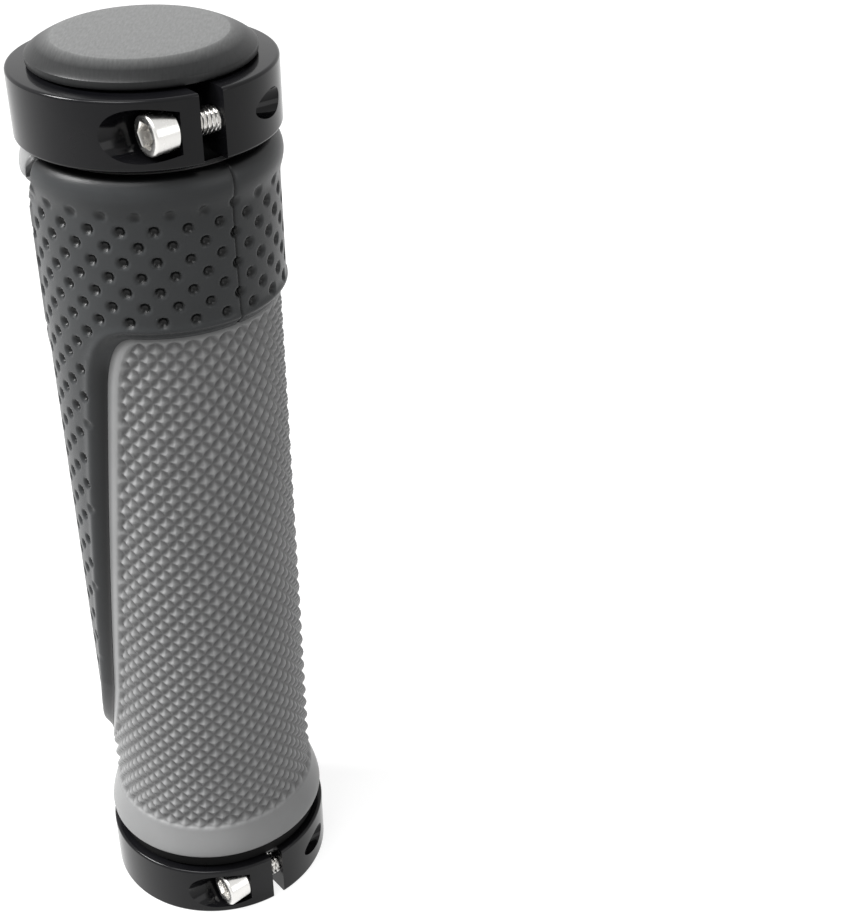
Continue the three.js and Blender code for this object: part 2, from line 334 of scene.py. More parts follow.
def knurl(angle, height):
    """1 at a bead's tip and 0 in the grooves: a smooth step of 1 - 2(|u| + |v|), with u and v the
    distances to the nearer of two staggered lattices, counted in pitches."""
    u = (angle - KNURL_TURN) * KNURL_AROUND / 360
    v = (height - KNURL_ORIGIN) / KNURL_PITCH
    straight = np.abs(nearest(u, 1)) + np.abs(nearest(v, 1))
    shifted = np.abs(nearest(u - 0.5, 1)) + np.abs(nearest(v - 0.5, 1))
    return smooth_step(1 - 2 * np.minimum(straight, shifted), 0, 1)


print(f"{KNURL_AROUND} beads round, and rows of them {KNURL_PITCH / 2:.2f} mm apart")

# %% [markdown]
# The dimples of the black rubber stand in staggered columns too, but they are single round pits. So each
# point looks for the nearest pit's middle, and its distance from there gives the depth.

# %% Dimples
DIMPLES_AROUND = 48
DIMPLE_PITCH = 4.06
DIMPLE_ORIGIN = 105.25
DIMPLE_RADIUS = 0.78
DIMPLE_DEPTH = 0.68
DIMPLE_POWER = 0.7
DIMPLE_STEPS = 9


def dimple_centres(angle, height):
    """The middle of the dimple that each point is nearest to, in every other column shifted by half."""
    step = 360 / DIMPLES_AROUND
    best = None
    for shift in (0, 1):
        column = 2 * np.round((angle / step - shift) / 2) + shift
        row = np.round((height - DIMPLE_ORIGIN) / DIMPLE_PITCH - shift / 2) + shift / 2
        centre = (column * step, row * DIMPLE_PITCH + DIMPLE_ORIGIN)
        away = np.hypot(np.radians(angle - centre[0]) * BLACK_RADIUS, height - centre[1])
        if best is None:
            best = [centre[0], centre[1], away]
        else:
            nearer = away < best[2]
            best = [np.where(nearer, new, old) for new, old in zip((*centre, away), best)]
    return best


print(f"{DIMPLES_AROUND // 2} dimples round in each row, {DIMPLE_RADIUS * 2:.2f} mm wide")

# %% [markdown]
# The two halves of the mould leave a fine parting line at the front and at the back. It is much narrower
# than a grid cell, so extra columns stand beside it.

# %% Mould seam
SEAM_WIDTH = 0.34
SEAM_COLUMNS = (0, 0.25, 0.5, 0.9)
LEAST_STEP = 0.05


def seam_line(angle):
    """The mould's parting line at the front and the back: exp(-(2d/w)^2) at a distance d from it."""
    away = np.radians(np.abs(nearest(angle, 180))) * BLACK_RADIUS
    return np.exp(-((2 * away / SEAM_WIDTH) ** 2))


def column_angles(count, phase=0.0, beside=SEAM_COLUMNS):
    """Even angles from the back seam, from -180 up to 180 degrees, with extra columns beside both
    seams, at the given shares of a step."""
    step = 360 / count
    even = np.arange(count) * step - 180 + phase % step
    extra = [seam + side * share * step
             for seam in (-180, 0) for side in (-1, 1) for share in beside]
    extra = (np.array(extra) + 180) % 360 - 180
    even = even[np.abs(even[:, None] - extra).min(axis=1) > LEAST_STEP]
    return np.unique(np.round(np.concatenate([even, extra]), 4))


def point_attribute(mesh, used, name, values):
    """Stores a value for each point, for the finishes to read. The shade level is painted shade: 0 in
    the depths, where the colour is darkened, and 1 on the skin. Shine is 1 on the floor of a dimple."""
    layer = mesh.attributes.new(name, "FLOAT", "POINT")
    layer.data.foreach_set("value", values.ravel()[used].astype(np.float32))


print("columns of the grey rubber:", len(column_angles(KNURL_AROUND * 2 * KNURL_STEPS, KNURL_TURN)))

# %% [markdown]
# The grey rubber is one closed band. Its rows go out along the foot, up the skin to the colour edge, in
# to the layer under the black rubber, out again round the tongue, and back down the bore. A row that
# passes a colour edge is squeezed onto it, so the edge stays crisp and the knurl stays on its grid.

# %% Grey rubber
GREY_SEAT = 14.1
RUBBER_BORE = SLEEVE_RADIUS + FIT_GAP
TUCK = 0.12
BORDER = 0.55
BORDER_BLEND = 0.15
BORDER_SIDEWAYS = 0.3
GREY_DIP = 0.2
GREY_DIP_WIDTH = 0.5
GREY_SEAM_DEPTH = 0.03
GREY_SEAM_COLUMNS = (0, 0.5)
FLARE_ROWS = 7
PLAIN_SHADE = 0.42


def grey_band():
    """Points, their painted shade level and the faces of the grey rubber. Its skin is skin_radius less
    the knurl's grooves and less a dip along the colour edge. The stored level is painted shade: low in
    the knurl's grooves and in the dip, so that they render darker. The plain stretches get a level a
    little below the beads' tips, so the tips are the palest part of the skin."""
    angle = column_angles(KNURL_AROUND * 2 * KNURL_STEPS, KNURL_TURN, GREY_SEAM_COLUMNS)
    away = np.abs(angle)[:, None]
    foot_edge = edge_height(black_foot_curve, away) + TUCK
    top_edge = np.minimum(edge_height(black_top_curve, away) - TUCK, LIP_TOP - FIT_GAP)
    in_tongue = away < LIP_HALF_ANGLE

    step = KNURL_PITCH / 2 / KNURL_STEPS
    flange = np.concatenate([
        RUBBER_FOOT + LIP_EDGE * (1 - np.cos(np.radians([15, 45, 70, 90]))),
        np.linspace(RUBBER_FOOT + LIP_EDGE, KNURL_ORIGIN - step, FLARE_ROWS)[1:],
    ])
    lower = np.concatenate([flange, np.arange(KNURL_ORIGIN, FRONT_PANEL_TOP + 1, step)])
    first_knurl = KNURL_ORIGIN + step * np.floor((TONGUE_FOOT - 1 - KNURL_ORIGIN) / step)
    upper = np.concatenate([np.arange(first_knurl, LIP_ROWS[0] - step / 2, step), LIP_ROWS])

    low_rows = np.minimum(lower[None], foot_edge)
    high_rows = np.maximum(upper[None], top_edge)

    def skin(rows, curve):
        inside = edge_distance(curve, away, rows, BORDER_SIDEWAYS)
        height = knurl(angle[:, None], rows)
        ends = smooth_step(rows, *KNURL_BEGIN) * (1 - smooth_step(rows, *KNURL_END))
        mask = ends * smooth_step(inside, BORDER, BORDER + BORDER_BLEND)
        dip = 1 - smooth_step(inside, 0, GREY_DIP_WIDTH)
        groove = KNURL_DEPTH * (1 - height) * mask + GREY_DIP * dip
        edge_round = np.clip(1 - (rows - RUBBER_FOOT) / LIP_EDGE, 0, 1)
        rounded = LIP_EDGE * (1 - np.sqrt(1 - edge_round**2))
        seam = GREY_SEAM_DEPTH * seam_line(angle)[:, None]
        # Painted shade: the level falls in the knurl's grooves and in the dip along the colour edge.
        shade_level = 1 - np.maximum.reduce([(1 - height) * mask, dip, PLAIN_SHADE * (1 - mask)])
        return skin_radius(GREY_RADIUS, rows) - groove - rounded - seam, shade_level

    low_radius, low_shade = skin(low_rows, black_foot_curve)
    high_radius, high_shade = skin(high_rows, black_top_curve)
    high_radius = np.where(in_tongue, high_radius, GREY_SEAT)
    one = np.ones_like(away)
    radius = np.concatenate([
        RUBBER_BORE * one, low_radius, GREY_SEAT * one,
        GREY_SEAT * one, high_radius, RUBBER_BORE * one,
    ], axis=1)
    shade_level = np.concatenate([one, low_shade, 0 * one, 0 * one, high_shade, one], axis=1)
    height = np.concatenate([
        RUBBER_FOOT * one, low_rows, foot_edge, top_edge, high_rows, LIP_TOP * one,
    ], axis=1)

    rows = radius.shape[1]
    low_last = 1 + np.minimum((lower[None] < foot_edge).sum(axis=1), len(lower) - 1)
    high_start = 1 + len(lower) + 2
    high_first = high_start + np.maximum((upper[None] <= top_edge).sum(axis=1) - 1, 0)
    high_first = np.where(in_tongue[:, 0], high_first, rows - 2)
    row = np.broadcast_to(np.arange(rows), radius.shape)
    squeezed = np.where(row < high_start - 2, np.minimum(row, low_last[:, None]), row)
    on_top = (row >= high_start) & (row < rows - 1)
    squeezed = np.where(on_top, np.maximum(row, high_first[:, None]), squeezed)
    ids = squeezed + np.arange(len(angle))[:, None] * rows
    points = round_points(angle[:, None] + BACK_SEAM, radius, height)
    return points.reshape(-1, 3), shade_level, grid_faces(ids, close_rows=True)


grey_points, grey_shade, grey_faces = grey_band()
grey_mesh, grey_used = write_mesh("grey_rubber", grey_points, *grey_faces)
point_attribute(grey_mesh, grey_used, "shade_level", grey_shade)
grey_rubber = add_object("grey_rubber", grey_mesh, 75)
print("grey rubber:", len(grey_mesh.polygons), "faces")

# %% [markdown]
# The black rubber is the second shot of the mould, a little proud of the grey. Its skin rolls over
# towards every colour edge, by the distance to that edge, and a dimple is left out where it would
# come within the smooth rim. Its stored level is painted shade: low in the dimples and on the seam,
# and also in the groove beside the grey panel and where the lip turns in under the outboard ring,
# where little light reaches the real skin.

# %% Black rubber
BLACK_SEAT = GREY_SEAT + FIT_GAP
EDGE_ROLL = 1.5
EDGE_DROP = 0.95
EDGE_BEAD = 0.2
EDGE_BEAD_WIDTH = 0.5
GROOVE_SHADE_START = 0.2
GROOVE_SHADE_WIDTH = 1.4
GROOVE_SHADE_BELOW_TOP = (2, 6)
UNDER_RING_SHADE = (0.1, 1.4)
RIM_BLEND = (1.4, 1.9)
RIM_SIDEWAYS = 0.65
LIP_DIMPLE_SHARE = 0.5
DIMPLE_SHADE = 1.6
SEAM_DEPTH = 0.25
DIMPLE_TOP = LIP_START + 1.2
ROWS_PER_DIMPLE = 16


def black_band():
    """Points, their painted shade level and shine, and the faces of the black rubber. Its skin is
    skin_radius less the dimples, each a round pit of section (1 - (r/R)^2)^0.7, and less a smooth roll
    along the colour edges, with a low bead where the roll begins. The stored level is painted shade:
    low in the dimples, on the seam, in the groove beside the panel and under the outboard ring."""
    angle = column_angles(DIMPLES_AROUND * DIMPLE_STEPS)
    away = np.abs(angle)[:, None]
    foot_edge = edge_height(black_foot_curve, away)
    top_edge = np.minimum(edge_height(black_top_curve, away), LIP_TOP)
    step = DIMPLE_PITCH / ROWS_PER_DIMPLE
    below = math.ceil((DIMPLE_ORIGIN - BACK_PANEL_FOOT) / step) + 1
    even = np.arange(DIMPLE_ORIGIN - below * step, LIP_ROWS[0] - step / 2, step)
    rows = np.concatenate([even, LIP_ROWS])
    height = np.clip(rows[None], foot_edge, top_edge)

    def edge_away(at_angle, at_height):
        at_angle = np.abs(at_angle)
        lip = edge_distance(black_top_curve, at_angle, at_height, RIM_SIDEWAYS)
        lip = np.where(at_angle > LIP_HALF_ANGLE + 6, np.inf, lip)
        return np.minimum(edge_distance(black_foot_curve, at_angle, at_height, RIM_SIDEWAYS), lip)

    centre_angle, centre_height, centre_away = dimple_centres(angle[:, None], height)
    near = centre_away < DIMPLE_RADIUS
    allowed = np.zeros_like(centre_away)
    centre_angle = np.abs((centre_angle + 180) % 360 - 180)
    inside = (centre_height > edge_height(black_foot_curve, centre_angle)) & (
        centre_height < edge_height(black_top_curve, centre_angle))
    clear = smooth_step(edge_away(centre_angle[near], centre_height[near]), *RIM_BLEND)
    clear *= 1 - LIP_DIMPLE_SHARE * smooth_step(centre_height[near], LIP_START, LIP_START + 1)
    clear *= centre_height[near] < DIMPLE_TOP
    allowed[near] = clear * inside[near]
    pit = np.clip(1 - (centre_away / DIMPLE_RADIUS) ** 2, 0, 1) ** DIMPLE_POWER * allowed
    edge = edge_away(away, height)
    roll = 1 - smooth_step(edge, 0, EDGE_ROLL)
    # Painted shade in the groove beside the grey panel.
    beside = 1 - smooth_step(edge, GROOVE_SHADE_START, GROOVE_SHADE_WIDTH)
    beside *= smooth_step(FRONT_PANEL_TOP - height, *GROOVE_SHADE_BELOW_TOP)
    # Painted shade where the lip turns in under the outboard ring.
    under_ring_shade = 1 - smooth_step(LIP_TOP - height, *UNDER_RING_SHADE)
    bead = np.exp(-(((edge - EDGE_ROLL) / EDGE_BEAD_WIDTH) ** 2))
    seam = seam_line(angle)[:, None] * np.ones_like(height)
    radius = skin_radius(BLACK_RADIUS, height) - DIMPLE_DEPTH * pit - SEAM_DEPTH * seam
    radius += EDGE_BEAD * bead - EDGE_DROP * roll
    # Painted shade: the level is lowest in the dimples, on the seam, in the groove and under the ring.
    shade_level = 1 - np.maximum.reduce([np.minimum(DIMPLE_SHADE * pit, 1), seam, beside, under_ring_shade])

    one = np.ones_like(away)
    shade_level = np.concatenate([0 * one, shade_level, 0 * one], axis=1)
    shine = np.concatenate([0 * one, pit, 0 * one], axis=1)
    radius = np.concatenate([BLACK_SEAT * one, radius, BLACK_SEAT * one], axis=1)
    height = np.concatenate([foot_edge, height, top_edge], axis=1)
    first = 1 + np.maximum((rows[None] <= foot_edge).sum(axis=1) - 1, 0)
    last = 1 + np.minimum((rows[None] < top_edge).sum(axis=1), len(rows) - 1)
    row = np.broadcast_to(np.arange(radius.shape[1]), radius.shape)
    inner = (row > 0) & (row < radius.shape[1] - 1)
    squeezed = np.where(inner, np.clip(row, first[:, None], last[:, None]), row)
    ids = squeezed + np.arange(len(angle))[:, None] * radius.shape[1]
    points = round_points(angle[:, None] + BACK_SEAM, radius, height)
    return points.reshape(-1, 3), shade_level, shine, grid_faces(ids, close_rows=True)


black_points, black_shade, black_shine, black_faces = black_band()
black_mesh, black_used = write_mesh("black_rubber", black_points, *black_faces)
point_attribute(black_mesh, black_used, "shade_level", black_shade)
point_attribute(black_mesh, black_used, "shine", black_shine)
black_rubber = add_object("black_rubber", black_mesh, 60)
print("black rubber:", len(black_mesh.polygons), "faces")

# %% [markdown]
# The clamp screw crosses the ring's slit, off the ring's middle. Its seat, its thread hole and the screw
# itself are all made about one axis, so a shape is drawn about +Z and then carried onto that axis.

# %% The screw's axis
SCREW_AZIMUTH = 39
SLIT_WIDTH = 3.2
SLIT_SHIFT = 0.85
LOWER_SLIT_WIDTH = 1.95
LOWER_SLIT_SHIFT = 0.2
SLIT_AZIMUTH = SCREW_AZIMUTH - math.degrees(math.asin(SLIT_SHIFT / RING_RADIUS))
SCREW_OFFSET = RING_RADIUS - 2.75
SCREW_SEAT = 5.15
HEAD_RADIUS = 2.6
HEAD_LENGTH = 3.4
SCREW_CLEARANCE = 0.7
THREAD_HOLE = 1.75
RING_CHAMFER = 0.4
RING_BORE_EDGE = 0.3
BROKEN_EDGE = 0.12
TEETH = 3
LUG_ANGLE = 34
PAST = 2.0


def screw_frame(height):
    """Rows are the outward, sideways and along directions of the screw's axis, and its origin, in mm."""
    turn = math.radians(SCREW_AZIMUTH)
    out = np.array([math.sin(turn), -math.cos(turn), 0])
    along = np.array([-math.cos(turn), -math.sin(turn), 0])
    return out, np.cross(along, out), along, out * SCREW_OFFSET + np.array([0, 0, height])


def on_screw(points, height):
    """Points given about +Z, carried onto the screw's axis."""
    out, side, along, origin = screw_frame(height)
    return points[..., :1] * out + points[..., 1:2] * side + points[..., 2:] * along + origin


print("screw axis points along", np.round(screw_frame(0)[2], 3))

# %% [markdown]
# A clamp ring is turned from bar, then slit, drilled and counterbored for its screw. It is made the same
# way here: a turned blank with rounded edges, and cutters taken away from it. The cutters are rods,
# blocks and slices of a disc, and reach a little past the ring so that no thin skin is left.

# %% Cutters
def rod(name, radius, start, end, height, sides=64):
    """A round cutter on the screw's axis."""
    mesh = turned(name, [(0, start), (radius, start), (radius, end), (0, end)], sides)
    move_points(mesh, lambda p: on_screw(p, height))
    return mesh


def move_points(mesh, change):
    """Applies a function of the point array, in millimetres, to a mesh."""
    flat = np.empty(len(mesh.vertices) * 3, np.float32)
    mesh.vertices.foreach_get("co", flat)
    moved = change(flat.reshape(-1, 3) / MM) * MM
    mesh.vertices.foreach_set("co", moved.astype(np.float32).ravel())
    mesh.update()


def block(name, low, high, azimuth):
    """A box cutter turned to an azimuth."""
    corners = np.array([[x, y, z] for z in (low[2], high[2]) for x, y in (
        (low[0], low[1]), (high[0], low[1]), (high[0], high[1]), (low[0], high[1]))], float)
    turn = math.radians(azimuth)
    across, up = (math.cos(turn), math.sin(turn), 0), (-math.sin(turn), math.cos(turn), 0)
    spin = np.array([across, up, (0, 0, 1)])
    quads = np.array([[3, 2, 1, 0], [4, 5, 6, 7], [0, 1, 5, 4], [1, 2, 6, 5], [2, 3, 7, 6], [3, 0, 4, 7]])
    mesh, _ = write_mesh(name, corners @ spin, quads, np.empty((0, 3), int))
    return mesh


def wedge(name, radius, azimuth, width, low, high, steps=40):
    """A slice of a disc between two azimuths, as a cutter."""
    rim = round_points(azimuth + np.linspace(-width / 2, width / 2, steps + 1), radius, 0.0)
    flat = np.concatenate([[[0, 0, 0]], rim])
    count = len(flat)
    points = np.concatenate([flat + [0, 0, low], flat + [0, 0, high]])
    here = np.arange(count)
    after = np.roll(here, -1)
    quads = np.stack([here, after, after + count, here + count], axis=-1)
    fan = np.stack([np.zeros(count - 2, int), here[1:-1], here[2:]], axis=-1)
    mesh, _ = write_mesh(name, points, quads, np.concatenate([fan[:, ::-1], fan + count]))
    return mesh


print("cutters: rod, block and wedge")

# %% [markdown]
# A Boolean modifier takes each cutter away exactly, and a narrow Bevel then breaks the new edges, as a
# file does. The finished mesh is read from the evaluated object, and the helpers are removed.

# %% Cutting
def cut(mesh, cutters):
    """The mesh with each cutter taken away, and its sharp edges broken."""
    body = bpy.data.objects.new("blank", mesh)
    bpy.context.scene.collection.objects.link(body)
    helpers = []
    for i, cutter in enumerate(cutters):
        helper = bpy.data.objects.new(f"cutter_{i}", cutter)
        bpy.context.scene.collection.objects.link(helper)
        modifier = body.modifiers.new(f"cut_{i}", "BOOLEAN")
        modifier.operation = "DIFFERENCE"
        modifier.solver = "EXACT"
        modifier.object = helper
        helpers.append(helper)
    bevel = body.modifiers.new("broken_edge", "BEVEL")
    bevel.width = BROKEN_EDGE * MM
    bevel.segments = 2
    bevel.limit_method = "ANGLE"
    bevel.angle_limit = math.radians(40)
    bevel.use_clamp_overlap = True
    graph = bpy.context.evaluated_depsgraph_get()
    result = bpy.data.meshes.new_from_object(body.evaluated_get(graph))
    for helper in (*helpers, body):
        bpy.data.objects.remove(helper)
    return result


print(f"edges are broken by {BROKEN_EDGE} mm")

# %% [markdown]
# Both rings are one shape, and the outboard one is turned over. Pulled tight on the bar, the inboard
# one has the narrower slit. Teeth on the sleeve reach into three recesses between the ring's lugs.

# %% One ring
def ring_mesh(name, slit_width, slit_shift):
    """A ring with its recess on the grip's side at the top, as the inboard one has it."""
    r, w, c, e = RING_RADIUS, RING_WIDTH, RING_CHAMFER, RING_BORE_EDGE
    blank = turned(name, [
        (BORE_RADIUS + e, 0), *arc((r - c, c), c, -90, 0, 6), *arc((r - c, w - c), c, 0, 90, 6),
        (BORE_RADIUS + e, w), (BORE_RADIUS, w - e), (BORE_RADIUS, e),
    ], 288)
    step = 360 / TEETH
    middle = w / 2
    left, right = -slit_shift - slit_width / 2, -slit_shift + slit_width / 2
    cutters = [
        block("slit", (left, -r - PAST, -PAST), (right, 0, w + PAST), SCREW_AZIMUTH),
        rod("thread_hole", THREAD_HOLE, -r, r, middle),
        rod("pocket", HEAD_RADIUS + SCREW_CLEARANCE, SCREW_SEAT - FIT_GAP, r, middle, 96),
    ]
    cutters += [
        wedge("recess", RECESS_RADIUS, SLIT_AZIMUTH + i * step, step - LUG_ANGLE,
              w - RECESS_DEPTH, w + PAST)
        for i in range(TEETH)
    ]
    return cut(blank, cutters)


print("each ring has", TEETH, "recesses")

# %% [markdown]
# Cutting leaves long thin faces on the ring's round side, and shading would kink at each of them. The
# turned side has a known direction at every point, straight out from the axis, so its corners get that
# direction as custom normals and the gloss runs over them without a break.

# %% Clamp rings
def turned_normals(mesh, radius, low, high):
    """Corners on the turned side between two heights get the direction straight out from the axis."""
    corners = np.empty(len(mesh.loops), np.int32)
    mesh.loops.foreach_get("vertex_index", corners)
    places = np.empty(len(mesh.vertices) * 3, np.float32)
    mesh.vertices.foreach_get("co", places)
    places = places.reshape(-1, 3) / MM
    normals = np.empty(len(mesh.loops) * 3, np.float32)
    mesh.corner_normals.foreach_get("vector", normals)
    normals = normals.reshape(-1, 3)
    totals = np.empty(len(mesh.polygons), np.int32)
    mesh.polygons.foreach_get("loop_total", totals)
    faces = np.empty(len(mesh.polygons) * 3, np.float32)
    mesh.polygons.foreach_get("normal", faces)
    face_of = np.repeat(np.arange(len(totals)), totals)
    facing = faces.reshape(-1, 3)[face_of]
    spot = places[corners]
    reach = np.hypot(spot[:, 0], spot[:, 1])
    straight = spot[:, :2] / reach[:, None]
    side = (np.abs(facing[:, 2]) < 0.02) & (reach > radius - 0.02)
    side &= (facing[:, :2] * straight).sum(axis=1) > 0.995
    side &= (spot[:, 2] > low - 0.01) & (spot[:, 2] < high + 0.01)
    normals[side] = np.column_stack([straight[side], np.zeros(side.sum())])
    mesh.normals_split_custom_set(normals)


lower_mesh = ring_mesh("lower_ring", LOWER_SLIT_WIDTH, LOWER_SLIT_SHIFT)
upper_mesh = ring_mesh("upper_ring", SLIT_WIDTH, SLIT_SHIFT)
move_points(upper_mesh, lambda p: p * [1, 1, -1] + [0, 0, GRIP_LENGTH])
upper_mesh.flip_normals()
lower_ring = add_object("lower_ring", lower_mesh, 35)
upper_ring = add_object("upper_ring", upper_mesh, 35)
turned_normals(lower_mesh, RING_RADIUS, RING_CHAMFER, RING_WIDTH - RING_CHAMFER)
turned_normals(upper_mesh, RING_RADIUS,
               GRIP_LENGTH - RING_WIDTH + RING_CHAMFER, GRIP_LENGTH - RING_CHAMFER)
print("rings:", len(lower_mesh.polygons), "and", len(upper_mesh.polygons), "faces")

# %% [markdown]
# The clamp screws are small socket head screws. Their head is a turned profile whose socket passes from
# a circle to a hexagon, and the thread is the same grid with its radius running up a helix, so head,
# socket and thread are one closed surface.

# %% Clamp screws
THREAD_RADIUS = 1.7
THREAD_ROOT = 1.36
THREAD_PITCH = 0.6
SCREW_LENGTH = 10.5
KEY_WIDTH = 3.0
KEY_DEPTH = 2.4
SCREW_SIDES = 72
THREAD_ROWS = 8
RUN_OUT = 0.8
TIP_LENGTH = 0.25
TIP_RADIUS = 1.25
HEAD_TAPER = 0.15
HEAD_EDGE = 0.35
SOCKET_EDGE = 0.12
DRILL_START = 0.25
DRILL_END = 0.7


def hexagon(azimuth, flat):
    """Radius of a hexagon, from the distance of a flat from its middle: flat / cos(angle to the flat)."""
    return flat / np.cos(np.radians((azimuth % 60) - 30))


def screw_mesh(name, height):
    """One closed surface: tip, thread, neck, head, socket and the socket's drilled end."""
    azimuth = np.arange(SCREW_SIDES) * 360 / SCREW_SIDES
    around = azimuth[:, None]
    tip, seat = SCREW_SEAT - SCREW_LENGTH, SCREW_SEAT
    face = seat + HEAD_LENGTH
    run = np.arange(tip, seat - 0.5, THREAD_PITCH / THREAD_ROWS)[None]
    phase = (run / THREAD_PITCH + around / 360) % 1
    wave = 1 - 2 * np.abs(phase - 0.5)
    ends = np.clip((run - tip) / RUN_OUT, 0.35, 1)
    thread = THREAD_ROOT + (THREAD_RADIUS - THREAD_ROOT) * np.clip(1.25 * wave - 0.1, 0, 1) * ends
    head_low = HEAD_RADIUS - HEAD_TAPER
    corner = KEY_WIDTH / 2 / math.cos(math.pi / 6)
    rows = [(0.0, tip - TIP_LENGTH), (TIP_RADIUS, tip - TIP_LENGTH)]
    plain = [(THREAD_ROOT, seat - 0.3), (THREAD_ROOT + 0.15, seat), (head_low - 0.1, seat),
             (head_low, seat + 0.1)]
    plain += arc((HEAD_RADIUS - HEAD_EDGE, face - HEAD_EDGE), HEAD_EDGE, 0, 90, 6)
    plain += [(corner + SOCKET_EDGE, face)]
    one = np.ones_like(around)
    hex_radius = hexagon(around, KEY_WIDTH / 2)
    rim = np.minimum(hex_radius + 0.06, corner + 0.05)
    radius = np.concatenate(
        [r * one for r, _ in rows] + [thread] + [r * one for r, _ in plain]
        + [rim, hex_radius, hex_radius, 0.75 * hex_radius, 0 * one], axis=1)
    depth = face - KEY_DEPTH
    socket = [face, face - SOCKET_EDGE, depth, depth - DRILL_START, depth - DRILL_END]
    place = np.concatenate(
        [z * one for _, z in rows] + [run * one] + [z * one for _, z in plain]
        + [z * one for z in socket], axis=1)
    ids = np.arange(radius.size).reshape(radius.shape)
    ids[:, 0] = ids[0, 0]
    ids[:, -1] = ids[0, -1]
    points = np.stack([
        radius * np.cos(np.radians(around)), radius * np.sin(np.radians(around)), place,
    ], axis=-1)
    mesh, _ = write_mesh(name, on_screw(points, height).reshape(-1, 3), *grid_faces(ids))
    return mesh


lower_screw = add_object("lower_screw", screw_mesh("lower_screw", RING_WIDTH / 2), 35)
upper_screw = add_object("upper_screw", screw_mesh("upper_screw", GRIP_LENGTH - RING_WIDTH / 2), 35)
print("screws:", len(lower_screw.data.polygons), "faces each")

# %% [markdown]
# The end plug's head is a turned cap with a soft shoulder and a flat top. Its hollow stem goes into the
# bar, and four ribs on it bite there. A rib is a swelling of the stem's radius over a few degrees.

# %% End plug
PLUG_RADIUS = (plug_high[0] - plug_low[0]) / 2
PLUG_TOP = plug_high[2]
STEM_RADIUS = 8.6
STEM_WALL = 1.6
RIBS = 4
RIB_HEIGHT = 0.6
RIB_START = 3.0
RIB_HALF_WIDTH = 5.5
PLUG_BEVEL = 3.3
BEVEL_POWER = 1.7
PLUG_RIM = 1.0
PLUG_CROWN = 0.08
BORE_EDGE = 0.3
STEM_LEAD = (0.4, 0.5)
RIB_RAMP = 0.6
RIB_FLANK = 1.5
ROOT_FILLET = 0.2
UNDER_EDGE = 0.25


def plug_mesh(name):
    """A closed profile of (radius, height, share of a rib) rows, with the ribs on the stem's side."""
    foot, low, top = GRIP_LENGTH + FIT_GAP, plug_low[2], PLUG_TOP
    flat, inner = PLUG_RADIUS - PLUG_BEVEL, STEM_RADIUS - STEM_WALL
    profile = [(0, foot, 0), (inner, foot, 0), (inner, low + BORE_EDGE, 0), (inner + BORE_EDGE, low, 0),
               (STEM_RADIUS - STEM_LEAD[0], low, 0), (STEM_RADIUS, low + STEM_LEAD[1], 0),
               (STEM_RADIUS, low + RIB_START, 0), (STEM_RADIUS, low + RIB_START + RIB_RAMP, 1),
               (STEM_RADIUS, foot - 0.01, 1), (STEM_RADIUS + RIB_HEIGHT + ROOT_FILLET, foot, 0)]
    under = arc((PLUG_RADIUS - UNDER_EDGE, foot + UNDER_EDGE), UNDER_EDGE, -90, 0, 6)
    profile += [(r, z, 0) for r, z in under]
    shoulder, crown = foot + PLUG_RIM, top - PLUG_CROWN
    turn = np.radians(np.linspace(0, 90, 25))
    profile += [(flat + PLUG_BEVEL * math.cos(t) ** BEVEL_POWER,
                 shoulder + (crown - shoulder) * math.sin(t) ** BEVEL_POWER, 0) for t in turn]
    profile += [(flat * k, crown + PLUG_CROWN * (1 - k * k), 0) for k in np.linspace(0.9, 0.1, 9)]
    profile += [(0, top, 0)]
    profile = np.array(profile)
    azimuth = np.arange(192) * 360 / 192
    rib = np.clip((RIB_HALF_WIDTH - np.abs(nearest(azimuth, 360 / RIBS))) / RIB_FLANK, 0, 1)
    radius = profile[None, :, 0] + RIB_HEIGHT * rib[:, None] * profile[None, :, 2]
    points = round_points(azimuth[:, None], radius, profile[None, :, 1])
    ids = np.arange(radius.size).reshape(radius.shape)
    ids[:, 0] = ids[0, 0]
    ids[:, -1] = ids[0, -1]
    mesh, _ = write_mesh(name, points.reshape(-1, 3), *grid_faces(ids))
    return mesh


plug = add_object("plug", plug_mesh("plug"), 40)
print("plug:", len(plug.data.polygons), "faces")

# %% [markdown]
# The sleeve is hidden but for its stop flange, its teeth in the slits and its bore. Its two ends step
# back at the three slots that the rings' lugs fill, so an end's height is a function of the azimuth.

# %% Inner sleeve
FLANGE_RADIUS = RING_RADIUS - 1.05
FLANGE_FOOT = RING_WIDTH + FIT_GAP
FLANGE_TOP = RUBBER_FOOT - FIT_GAP
TOOTH_CLEARANCE = 4
SLEEVE_EDGE = 0.25


